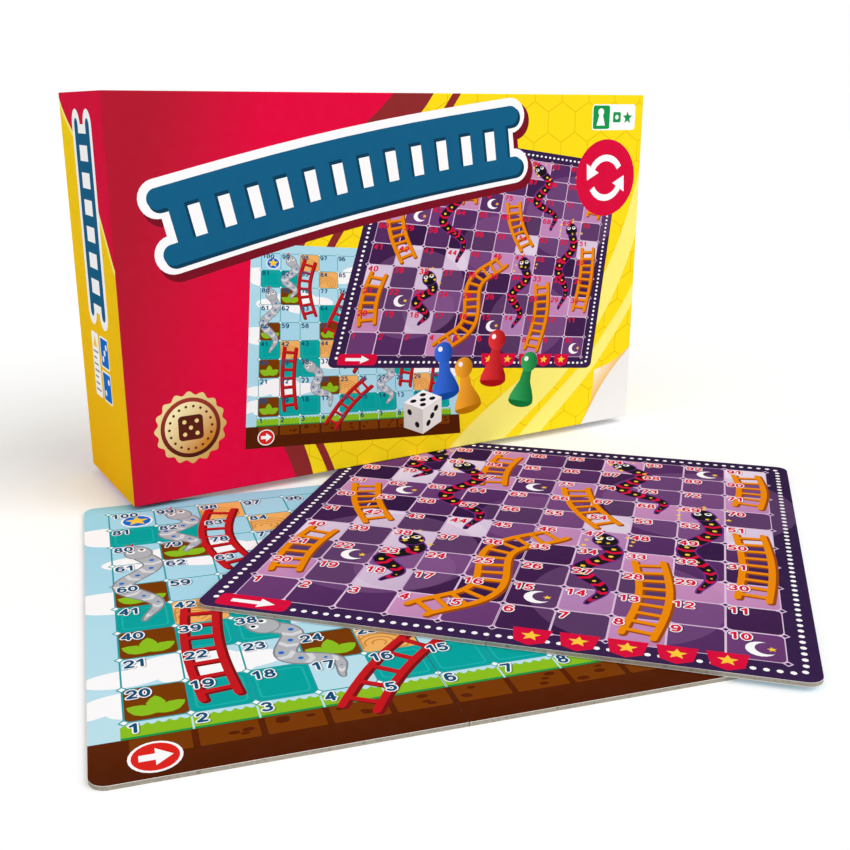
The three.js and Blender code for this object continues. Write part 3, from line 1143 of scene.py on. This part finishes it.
# %% [markdown]
# ## The lid's print
# The front of a game box shows what is inside: the board, the pieces and a bold figure. Here a crimson
# sweep runs over the left and top edges onto the sides of a yellow box with a fine hexagon pattern. The
# boards in the picture are the two faces again, their outlines moved onto slanting corners.

# %% Honeycomb and slanting boards
HEX_SIDE, HEX_LINE, HEX_REACH = 13, .7, 112


def hexagons(art, long, tall, colour):
    """A honeycomb of fine lines over a wrap's panel and flaps."""
    across, up = HEX_SIDE * math.sqrt(3), HEX_SIDE * 1.5
    rows, columns = ((math.floor(-HEX_REACH / pitch), math.ceil((size + HEX_REACH) / pitch))
                     for size, pitch in ((tall, up), (long, across)))
    for row in range(*rows):
        for column in range(*columns):
            x, y = (column + (row % 2) / 2) * across, row * up
            corners = [(x + HEX_SIDE * math.cos(math.radians(a)), y + HEX_SIDE * math.sin(math.radians(a)))
                       for a in (30, 90, 150, 210)]
            for start, end in zip(corners, corners[1:]):
                art.band([start, end], HEX_LINE, colour)


def onto(corners):
    """A move that lays the flat board on four corners: lower left, lower right, upper right, upper left."""
    a, b, c, d = (Vector(p) for p in corners)
    one, two, skew = b - c, d - c, a - b + c - d
    size = one.x * two.y - two.x * one.y
    g = (skew.x * two.y - two.x * skew.y) / size
    h = (one.x * skew.y - skew.x * one.y) / size
    across, up = b - a + b * g, d - a + d * h

    def move(point):
        s, t = (clamp(v / BOARD_SIDE, 0, 1) for v in point)
        return (a + across * s + up * t) / (1 + g * s + h * t)
    return move


print("the honeycomb's cells are", round(HEX_SIDE * math.sqrt(3), 1), "mm across")

# %% Pictures of the pieces
PAWN_INKS = {"red": ink("d8141c"), "blue": ink("1b5fd0"), "green": GREEN, "yellow": ink("f59a00")}
PAWN_SIDE = [(0, .3), (.09, .285), (.2, .235), (.4, .13), (.72, .09)]  # height and half width, of its height
SPOTS = {1: [(0, 0)], 2: [(-1, -1), (1, 1)], 3: [(-1, -1), (0, 0), (1, 1)],
         4: [(-1, -1), (1, -1), (-1, 1), (1, 1)], 5: [(-1, -1), (1, -1), (0, 0), (-1, 1), (1, 1)],
         6: [(-1, -1), (1, -1), (-1, 0), (1, 0), (-1, 1), (1, 1)]}


def pawn_picture(art, x, y, tall, colour, lean=0):
    """A playing pawn in three tones, standing at (x, y)."""
    dark, light = toned(colour, .55), toned(colour, 1.2, .03)
    ahead = Vector((math.sin(math.radians(lean)), math.cos(math.radians(lean))))
    foot, head = Vector((x, y)), Vector((x, y)) + ahead * tall * .78

    def lit(place, left, right):
        return fade(light, dark, place - Vector((tall * left, 0)), place + Vector((tall * right, 0)))
    other_side = [(up, -out) for up, out in PAWN_SIDE[::-1]]
    skirt = [(tall * up, tall * out) for up, out in PAWN_SIDE + other_side]
    base = [(tall * .13 * px, tall * .3 * py) for px, py in disc(0, 0, 1, step=15)]
    art.paint(along(base, foot, ahead), dark)
    art.paint(along(skirt, foot, ahead), lit(foot, .2, .26))
    art.paint(disc(*head, tall * .2, step=20), lit(head, .15, .2))
    art.paint(disc(head.x - tall * .07, head.y + tall * .07, tall * .05, step=40), WHITE)


def die_picture(art, x, y, side):
    """A die in three faces, seen from above its edge."""
    up, left, right = Vector((0, side)), Vector((-side * .86, side * .4)), Vector((side * .86, side * .4))
    foot = Vector((x, y))
    faces = [(foot, left, up, ink("d5d2cc"), ((.3, .3), (.7, .7))),
             (foot, right, up, ink("ebe9e4"), ((.3, .3), (.5, .5), (.7, .7))),
             (foot + up, left, right, WHITE, ((.25, .25), (.75, .75), (.25, .75), (.75, .25), (.5, .5)))]
    for start, one, two, colour, pips in faces:
        art.paint([start, start + one, start + one + two, start + two], colour)
        for s, t in pips:
            centre = start + one * s + two * t
            art.paint([centre + one * .12 * px + two * .12 * py for px, py in disc(0, 0, 1)], BLACK)


print("pawn inks", list(PAWN_INKS))

# %% Seal
SCALLOPS, SCALLOP_POINTS, SCALLOP_DEPTH = 16, 192, .05


def seal(art, x, y, radius):
    """A gold seal with a scalloped edge and a die's five spots."""
    def sheen(light, dark, start, end):
        return fade(ink(light), ink(dark), *((x + px * radius, y + py * radius) for px, py in (start, end)))
    scallops = []
    for i in range(SCALLOP_POINTS):
        angle = 2 * math.pi * i / SCALLOP_POINTS
        reach = radius * (1 + SCALLOP_DEPTH * math.cos(angle * SCALLOPS))
        scallops.append((x + reach * math.cos(angle), y + reach * math.sin(angle)))
    art.paint(scallops, sheen("fceaa8", "c8953c", (-1, 1), (1, -1)))
    art.paint(disc(x, y, radius * .87, step=8), sheen("a83c30", "35100e", (-.2, 1), (.2, -1)))
    art.paint(disc(x, y, radius * .75, step=8), sheen("fff3ba", "cc842a", (-.5, .5), (.4, -.5)))
    for px, py in disc(x, y, radius * .62, step=20):
        art.paint(disc(px, py, radius * .04), SEAL_BROWN)
    box = radius * .36
    art.paint(oblong(x - box, y - box, x + box, y + box, box * .3), SEAL_BROWN)
    for px, py in SPOTS[5]:
        art.paint(disc(x + px * box / 2, y + py * box / 2, box * .17), PALE_GOLD)


seal(trial, x=0, y=0, radius=3)
print("with a seal the trial print has", len(trial.shapes), "outlines")

# %% Small signs
def turn_sign(art, x, y, radius):
    """A crimson roundel with two arrows that chase each other: the board has two faces."""
    art.paint(disc(x, y, radius, step=8), CRIMSON)
    for start in (30, 210):
        end = start + 120
        art.band(arc(x, y, radius * .52, radius * .52, start, end, 12), radius * .17, WHITE)
        out = heading(end)
        tip = Vector((x, y)) + out * radius * .52
        half = out * radius * .24
        art.paint([tip + half, tip - half, tip + left_of(out) * radius * .36], WHITE)


def pawn_label(art, x, y, wide, tall):
    """A small white label: a pawn on green, and two outlined signs."""
    art.paint(oblong(x, y, x + wide, y + tall, 2), WHITE)
    art.paint(oblong(x + .8, y + .8, x + wide * .4, y + tall - .8, 1.4), GREEN)
    middle = x + wide * .2
    art.paint(disc(middle, y + tall * .7, tall * .15), WHITE)
    art.paint([(middle - tall * .22, y + tall * .18), (middle + tall * .22, y + tall * .18),
               (middle + tall * .07, y + tall * .66), (middle - tall * .07, y + tall * .66)], WHITE)
    art.paint(oblong(x + wide * .48, y + tall * .3, x + wide * .66, y + tall * .7, 1), GREEN)
    art.paint(disc(x + wide * .57, y + tall * .5, tall * .09), WHITE)
    art.paint(star(x + wide * .82, y + tall * .48, tall * .26), GREEN)


def side_signs(art, x, y):
    """A white label with grey lines, and two blue ones with a die's spots, for the box's end."""
    art.paint(oblong(x, y, x + 15, y + 40, 1.2), WHITE)
    for i in range(7):
        line = y + 4 + i * 4
        art.band([(x + 2, line), (x + 13 - i % 3 * 2, line)], 1.1, DEEP_GREY)
    art.paint([(x + 3, y + 31), (x + 12, y + 31), (x + 7.5, y + 38)], GOLD)
    for foot, count in ((y, 2), (y + 21, 3)):
        art.paint(oblong(x + 19, foot, x + 37, foot + 19, 1.6), WHITE)
        art.paint(oblong(x + 20, foot + 1, x + 36, foot + 18, 1.2), BLUE)
        for px, py in SPOTS[count]:
            art.paint(disc(x + 28 + px * 4, foot + 9.5 + py * 4, 1.9), WHITE)


turn_sign(trial, x=0, y=0, radius=3)
print("with a sign the trial print has", len(trial.shapes), "outlines")

# %% The lid's fields
LEFT_OUT, FOOT_OUT, TOP_OUT, END_TOP = -130, -125, 350, 300  # places past the wrap's edges
RIBBONS = [([(120, FOOT_OUT), (230, -8), (318, 60), (372, 150), (410, TOP_OUT)], 36),
           ([(170, FOOT_OUT), (272, -12), (348, 58), (392, 140), (430, TOP_OUT)], 16)]
SWEEP = [(120, FOOT_OUT), (110, -6), (88, 60), (92, 120), (128, 180), (190, 232), (262, TOP_OUT)]
END_SWEEP = [(LEFT_OUT, 268), (-90, 224), (-50, 196), (0, 136)]


def lid_fields(art, long, tall):
    """The honeycomb, the pale ribbons and the crimson sweep, on the front and on the box's end."""
    end = [(LEFT_OUT, -OVER_EDGE), (0, -OVER_EDGE), (0, END_TOP), (LEFT_OUT, END_TOP)]
    art.paint(end, fade(ink("ffd912"), ink("f8b80c"), (0, tall), (0, 0)))
    hexagons(art, long, tall, LINE_YELLOW)
    for path, wide in RIBBONS:
        art.band(smooth(path), lambda t: wide * (1.1 - t), PALE_YELLOW)
    wedge = smooth(END_SWEEP)
    art.paint(wedge + [(0, TOP_OUT), (LEFT_OUT, TOP_OUT)], CRIMSON)
    art.band(wedge, 3, PALE_YELLOW)
    edge = smooth(SWEEP)
    art.band([p + Vector((22, -12)) for p in edge], 5, DEEP_RED)
    art.paint(edge + [(0, TOP_OUT), (0, FOOT_OUT)], fade(ink("b4182f"), ink("e6053e"), (0, 116), (64, 100)))
    art.band(edge, lambda t: 9 + 16 * t, DEEP_RED)


def turned_page(art):
    """The lower right corner, printed as a page that turns up."""
    low, middle, high, tip = (330, -2), (352, 31), (377, 56), (342, 40)
    art.paint(smooth([(400, 72), high, middle, low, (318, -30)]) + [(400, -30)], ink("f1eeec"))
    flap = smooth([low, (340, 18), tip]) + smooth([tip, (360, 45), high]) + smooth([high, middle, low])
    art.paint(flap, fade(ink("fffbe6"), ink("f3ae00"), (340, 41), (355, 27)))


print("ribbons", len(RIBBONS), "points of the sweep", len(smooth(SWEEP)))

# %% Lay out and fold the lid's wrap
TITLE_BLUE = [(12, (3, -3.5), ink("7a1023")), (10, (0, 0), WHITE), (1, (1.4, -1.4), ink("0b3d58")),
              (0, (0, 0), DEEP_BLUE)]
SIDE_BLUE = [(10, (0, 0), WHITE), (0, (0, 0), DEEP_BLUE)]
DAY_PICTURE = [(70, 24), (226, 10), (214, 134), (80, 148)]
NIGHT_PICTURE = [(126, 68), (338, 42), (356, 186), (172, 212)]
LID_PAWN_TALL = 36
LID_PAWNS = [(252, 44, "red", 6), (214, 40, "blue", -4), (276, 26, "green", 14), (232, 28, "yellow", -8)]


def lid_art(sizes):
    long, tall, _ = sizes
    art = Print(wrap_outline(*sizes), YELLOW)
    lid_fields(art, long, tall)
    art.copy_in(day_face(0), onto(DAY_PICTURE))
    art.copy_in(night_face(0), onto(NIGHT_PICTURE))
    ladder(art, bowed((30, 160), (264, 203), bow=4), wide=32, rail=12, pitch=19, coats=TITLE_BLUE)
    ladder(art, [(-45, 108), (-45, 214)], wide=25, rail=8, pitch=15, coats=SIDE_BLUE)
    side_signs(art, x=-66, y=54)
    turn_sign(art, x=344, y=177, radius=26)
    seal(art, x=37, y=43, radius=21)
    pawn_label(art, x=330, y=209, wide=38, tall=17)
    turned_page(art)
    for x, y, colour, lean in LID_PAWNS:
        pawn_picture(art, x, y, LID_PAWN_TALL, PAWN_INKS[colour], lean)
    die_picture(art, x=196, y=14, side=17)
    return art


lid_corner = Vector(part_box("lid_wrap")[0])
lid_print = lid_art(lid_sizes)
wrap("lid_wrap_print", "lid_wrap", lid_print, lid_sizes, lambda p: lid_corner + p, "lid", "lid_print")

# %% Lay out and fold the tray's wrap
WAVE_LEFT, WAVE_RIGHT, WAVE_FOOT = -120, 500, -120  # places past the wrap's edges
WAVE = [(WAVE_LEFT, 52), (40, 57), (150, 35), (270, 64), (WAVE_RIGHT, 35)]


def tray_art(sizes):
    """The back of the box: a wave of crimson, a ladder, a snake and the pieces."""
    long, tall, _ = sizes
    art = Print(wrap_outline(*sizes), ink("fbd714"))
    hexagons(art, long, tall, ink("e8b90a"))
    edge = smooth(WAVE)
    field = edge + [(WAVE_RIGHT, WAVE_FOOT), (WAVE_LEFT, WAVE_FOOT)]
    art.paint(field, fade(ink("e4063e"), ink("b3182f"), (180, 60), (180, -80)))
    art.band(edge, 7, PALE_YELLOW)
    ladder(art, bowed((70, 80), (150, 194), bow=8), wide=34, rail=9, pitch=21, coats=TITLE_BLUE)
    path = winding((300, 192), (214, 84), swing=20, waves=1.4)
    snake(art, path, wide=18, body=ink("2f9a3a"), edge=ink("14592a"), stripe=GOLD, dots=CRIMSON)
    die_picture(art, x=182, y=14, side=22)
    for x, colour in ((120, "red"), (248, "blue")):
        pawn_picture(art, x, y=11, tall=34, colour=PAWN_INKS[colour])
    return art


tray_low, tray_high = (Vector(corner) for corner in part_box("tray_wrap"))
tray_corner = Vector((tray_high.x, tray_high.y, tray_low.z))
wrap("tray_wrap_print", "tray_wrap", tray_art(tray_sizes), tray_sizes,
     lambda p: tray_corner + Vector((-p.x, -p.y, p.z)), "tray", "tray_print")

# %% [markdown]
# ## Pawns and die
# The pieces are moulded plastic. A pawn is a turned form, so its outline is spun round its axis in fine
# steps, and it lies on its skirt and head as a tipped pawn does. A Screw modifier could spin it too, but
# rings of points close neatly at both ends. The die's faces are printed like a sheet and bent over its
# rounded edges, and each spot is a shallow dish, which a bevelled cube would not have.

# %% Plastics
def moulded(name, hex_colour):
    finish = new_finish(name)
    flow = finish.noise(size=0.009, detail=3, rough=0.6)
    base = ink(hex_colour)
    colour = finish.mix(flow, opaque(toned(base, .86)), opaque(toned(base, 1.1, .005)))
    return finish.surface(base_color=colour, roughness=0.2 + flow * 0.14, coat_weight=0.15 + flow * 0.1,
                          coat_roughness=0.12, normal=finish.bump(flow, strength=0.05, distance=0.0003))


def die_plastic(name):
    finish = new_finish(name)
    laid = finish.node("Attribute", {"attribute_name": INK_LAYER})
    flow = finish.noise(size=0.004)
    colour = finish.mix(flow * 0.12, laid, opaque(ink("dcd8cc")))
    return finish.surface(base_color=colour, roughness=0.18 + flow * 0.15, coat_weight=0.2 + flow * 0.1,
                          normal=finish.bump(flow, strength=0.04, distance=0.0002))


die_white = die_plastic("die plastic")
print("finish", die_white.name)

# %% Spin the pawns
PAWN_BASE, PAWN_EDGE, PAWN_SKIRT, PAWN_NECK, PAWN_NECK_UP, PAWN_HEAD = 7, .8, 2.2, 2.6, 17, 4.6
PAWN_BEND, PAWN_BEND_UP, PAWN_STEPS = 3.6, 6.4, 14  # what the skirt's curve bends towards, and its steps
PAWN_TURN = {"pawn_red": 24, "pawn_blue": -18, "pawn_green": 152, "pawn_yellow": 9}
PAWN_COLOUR = {"pawn_red": "d21a26", "pawn_blue": "1f5fc0", "pawn_green": "2f9a3a", "pawn_yellow": "f4b515"}


def pawn_outline():
    """Radius and height from the foot to the crown, and the height of the head's middle."""
    head_up = PAWN_NECK_UP + math.sqrt(PAWN_HEAD ** 2 - PAWN_NECK ** 2)
    foot = arc(PAWN_BASE - PAWN_EDGE, PAWN_EDGE, PAWN_EDGE, PAWN_EDGE, -90, 0, 15)
    skirt = []
    for i in range(PAWN_STEPS + 1):
        t = i / PAWN_STEPS
        radius = PAWN_BASE * (1 - t) ** 2 + 2 * PAWN_BEND * t * (1 - t) + PAWN_NECK * t * t
        height = PAWN_SKIRT * (1 - t) ** 2 + 2 * PAWN_BEND_UP * t * (1 - t) + PAWN_NECK_UP * t * t
        skirt.append((radius, height))
    low = math.degrees(math.asin((PAWN_NECK_UP - head_up) / PAWN_HEAD))
    crown = arc(0, head_up, PAWN_HEAD, PAWN_HEAD, low, 90, 7)
    return foot + skirt + crown[1:-1], head_up


def pawn_mesh(name, turns=64):
    """A pawn that lies on its skirt and head, turned to its heading, with its middle at the origin."""
    outline, head_up = pawn_outline()
    top = head_up + PAWN_HEAD
    reach = head_up - PAWN_SKIRT
    tilt = math.acos(PAWN_HEAD / math.hypot(PAWN_BASE, reach)) - math.atan2(reach, PAWN_BASE)
    spin = [2 * math.pi * i / turns for i in range(turns)]
    work = bmesh.new()
    rings = []
    for radius, height in outline:
        x = height - top / 2
        rings.append([work.verts.new((x, radius * math.cos(a), radius * math.sin(a))) for a in spin])
    ends = [work.verts.new((h - top / 2, 0, 0)) for h in (0, top)]
    for one, two in zip(rings, rings[1:]):
        for i in range(turns):
            work.faces.new((one[i], one[i - 1], two[i - 1], two[i]))
    for ring_of_points, end, step in ((rings[0], ends[0], -1), (rings[-1], ends[1], 1)):
        for i in range(turns):
            work.faces.new((end, ring_of_points[i], ring_of_points[i - 1])[::step])
    bmesh.ops.recalc_face_normals(work, faces=work.faces)
    lie = Matrix.Rotation(math.radians(PAWN_TURN[name]), 4, "Z") @ Matrix.Rotation(tilt, 4, "Y")
    bmesh.ops.transform(work, matrix=Matrix.Scale(MM, 4) @ lie, verts=work.verts)
    mesh = bpy.data.meshes.new(name + "_moulding")
    work.to_mesh(mesh)
    work.free()
    mesh.shade_smooth()
    return mesh


def settle(made, node):
    """Move a piece so that the middle of its box is the middle of its node's box."""
    low, high = (Vector(corner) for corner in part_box(node))
    lowest, highest = extent(vertex.co for vertex in made.data.vertices)
    shift = (low + high - lowest - highest) / 2
    made.data.transform(Matrix.Translation(shift))
    print(made.name, "moved by", [round(v / MM, 2) for v in shift], "mm, differs in size by",
          [round(v / MM, 2) for v in (highest - lowest) - (high - low)])


for name, colour in PAWN_COLOUR.items():
    plastic = moulded(name + " plastic", colour)
    settle(piece(name + "_moulding", pawn_mesh(name), plastic, name, name, name), name)

# %% Press the die
DIE, DIE_CORNER, DIE_HEADING, PIP, PIP_DEEP, PIP_SPREAD = 16, 2.4, 14, 1.5, .7, 4
DIE_FACES = {1: (0, 0, 1), 2: (1, 0, 0), 3: (0, 1, 0), 4: (0, -1, 0), 5: (-1, 0, 0), 6: (0, 0, -1)}
PIP_RINGS = (1, .92, .75, .5, .25)
EDGE_ANGLES = (0, 11.25, 22.5, 33.75)
WELD = 1e-6


def die_face(count, normal):
    """One face as a print, bent over the die's rounded edges, with its spots dished."""
    half, core = DIE / 2, DIE / 2 - DIE_CORNER
    out = Vector(normal)
    across = Vector((0, 1, 0)) if abs(out.x) else Vector((1, 0, 0))
    up = out.cross(across)
    pips = [Vector(place) * PIP_SPREAD for place in SPOTS[count]]
    art = Print([(-half, -half), (half, -half), (half, half), (-half, half)], ink("f5f2ea"))
    for pip in pips:
        for share in PIP_RINGS:
            art.paint(disc(*pip, PIP * share, step=12), BLACK)

    def bend(point):
        place = across * point.x + up * point.y + out * half
        inner = Vector([clamp(v, -core, core) for v in place])
        place = inner + (place - inner).normalized() * DIE_CORNER
        far = min((point - pip).length for pip in pips) / PIP
        return (place - out * PIP_DEEP * max(0, 1 - far * far)) * MM
    steps = [core + DIE_CORNER * math.tan(math.radians(a)) for a in EDGE_ANGLES]
    lines = []
    for step in steps + [-s for s in steps]:
        lines += [((step, -half), (step, half)), ((-half, step), (half, step))]
    return printed_mesh("die_face_" + str(count), art, bend, lines)


def die_mesh():
    """The six faces joined into one closed die."""
    work = bmesh.new()
    for count, normal in DIE_FACES.items():
        work.from_mesh(die_face(count, normal))
    bmesh.ops.remove_doubles(work, verts=work.verts, dist=WELD)
    bmesh.ops.transform(work, matrix=Matrix.Rotation(math.radians(DIE_HEADING), 4, "Z"), verts=work.verts)
    loose = [edge for edge in work.edges if not edge.is_manifold]
    print("die edges left open:", len(loose))
    work.loops.layers.uv.remove(work.loops.layers.uv[MAP_LAYER])
    mesh = bpy.data.meshes.new("die_moulding")
    work.to_mesh(mesh)
    work.free()
    mesh.shade_smooth()
    return mesh


settle(piece("die_moulding", die_mesh(), die_white, "die", "die_white", "die"), "die")

# %% [markdown]
# ## Floor, light and camera
# The set stands on a white studio sweep. A big soft lamp from the upper right front gives the even light
# of a shop picture, and a weaker one from the left keeps the side of the box readable. Area lamps would
# leave the far floor grey, so both are broad suns. The floor shows as white to the camera but still takes
# the set's shadow.

# %% Floor and lamps
FLOOR_REACH, FLOOR_LIFT, SKY_LIGHT = 9, 0.18, 0.49
FLOOR_DARK, FLOOR_LIGHT = .86, .9
LAMPS = [("key", (-.45, .62, -.75), 50, 1.6), ("fill", (.75, .5, -.5), 70, .72)]


def studio_floor():
    mesh = bpy.data.meshes.new("floor")
    corners = [(x * FLOOR_REACH, y * FLOOR_REACH, 0) for x, y in ((-1, -1), (1, -1), (1, 1), (-1, 1))]
    mesh.from_pydata(corners, [], [(0, 1, 2, 3)])
    floor = bpy.data.objects.new("floor", mesh)
    bpy.context.collection.objects.link(floor)
    finish = new_finish("white sweep")
    grain = finish.noise(size=0.05, detail=3)
    lift = finish.mix(finish.looked_at(), grey(0), grey(FLOOR_LIFT))
    colour = finish.mix(grain, grey(FLOOR_DARK), grey(FLOOR_LIGHT))
    finish.surface(base_color=colour, roughness=0.8 + grain * 0.1, specular_ior_level=0.0,
                   emission_color=lift, emission_strength=1.0)
    mesh.materials.append(finish.owner)


def soft_sun(name, towards, spread, strength):
    """A broad, even light from far away, so that the floor is as bright far off as it is near."""
    lamp = bpy.data.lights.new(name, "SUN")
    lamp.angle, lamp.energy = math.radians(spread), strength
    made = bpy.data.objects.new(name, lamp)
    bpy.context.collection.objects.link(made)
    made.rotation_euler = Vector(towards).to_track_quat("-Z", "Y").to_euler()


def studio_sky(name, strength):
    """An even sky that lights the set, and shows as white where it is looked at or mirrored."""
    sky = Finish(bpy.data.worlds.new(name))
    level = sky.mix(sky.looked_at(), grey(strength), grey(1))
    return sky.surface(color=level, strength=1.0)


studio_floor()
for lamp in LAMPS:
    soft_sun(*lamp)
bpy.context.scene.world = studio_sky("studio", SKY_LIGHT)
bpy.context.scene.view_settings.view_transform = "Standard"
print("lamps", [made.name for made in bpy.data.objects if made.type == "LIGHT"])

# %% Camera
CAMERA_AT, CAMERA_TURN, CAMERA_PITCH, LENS = (-.2975, -.4613, .2271), 30.92, 16.6, 44.76
FILM_WIDTH = 36
eye = bpy.data.cameras.new("camera")
eye.lens, eye.sensor_width = LENS, FILM_WIDTH
camera = bpy.data.objects.new("camera", eye)
bpy.context.collection.objects.link(camera)
camera.location = CAMERA_AT
camera.rotation_euler = (math.radians(90 - CAMERA_PITCH), 0, math.radians(-CAMERA_TURN))
bpy.context.scene.camera = camera
print("camera stands", round(camera.location.length, 3), "m from the set's middle")
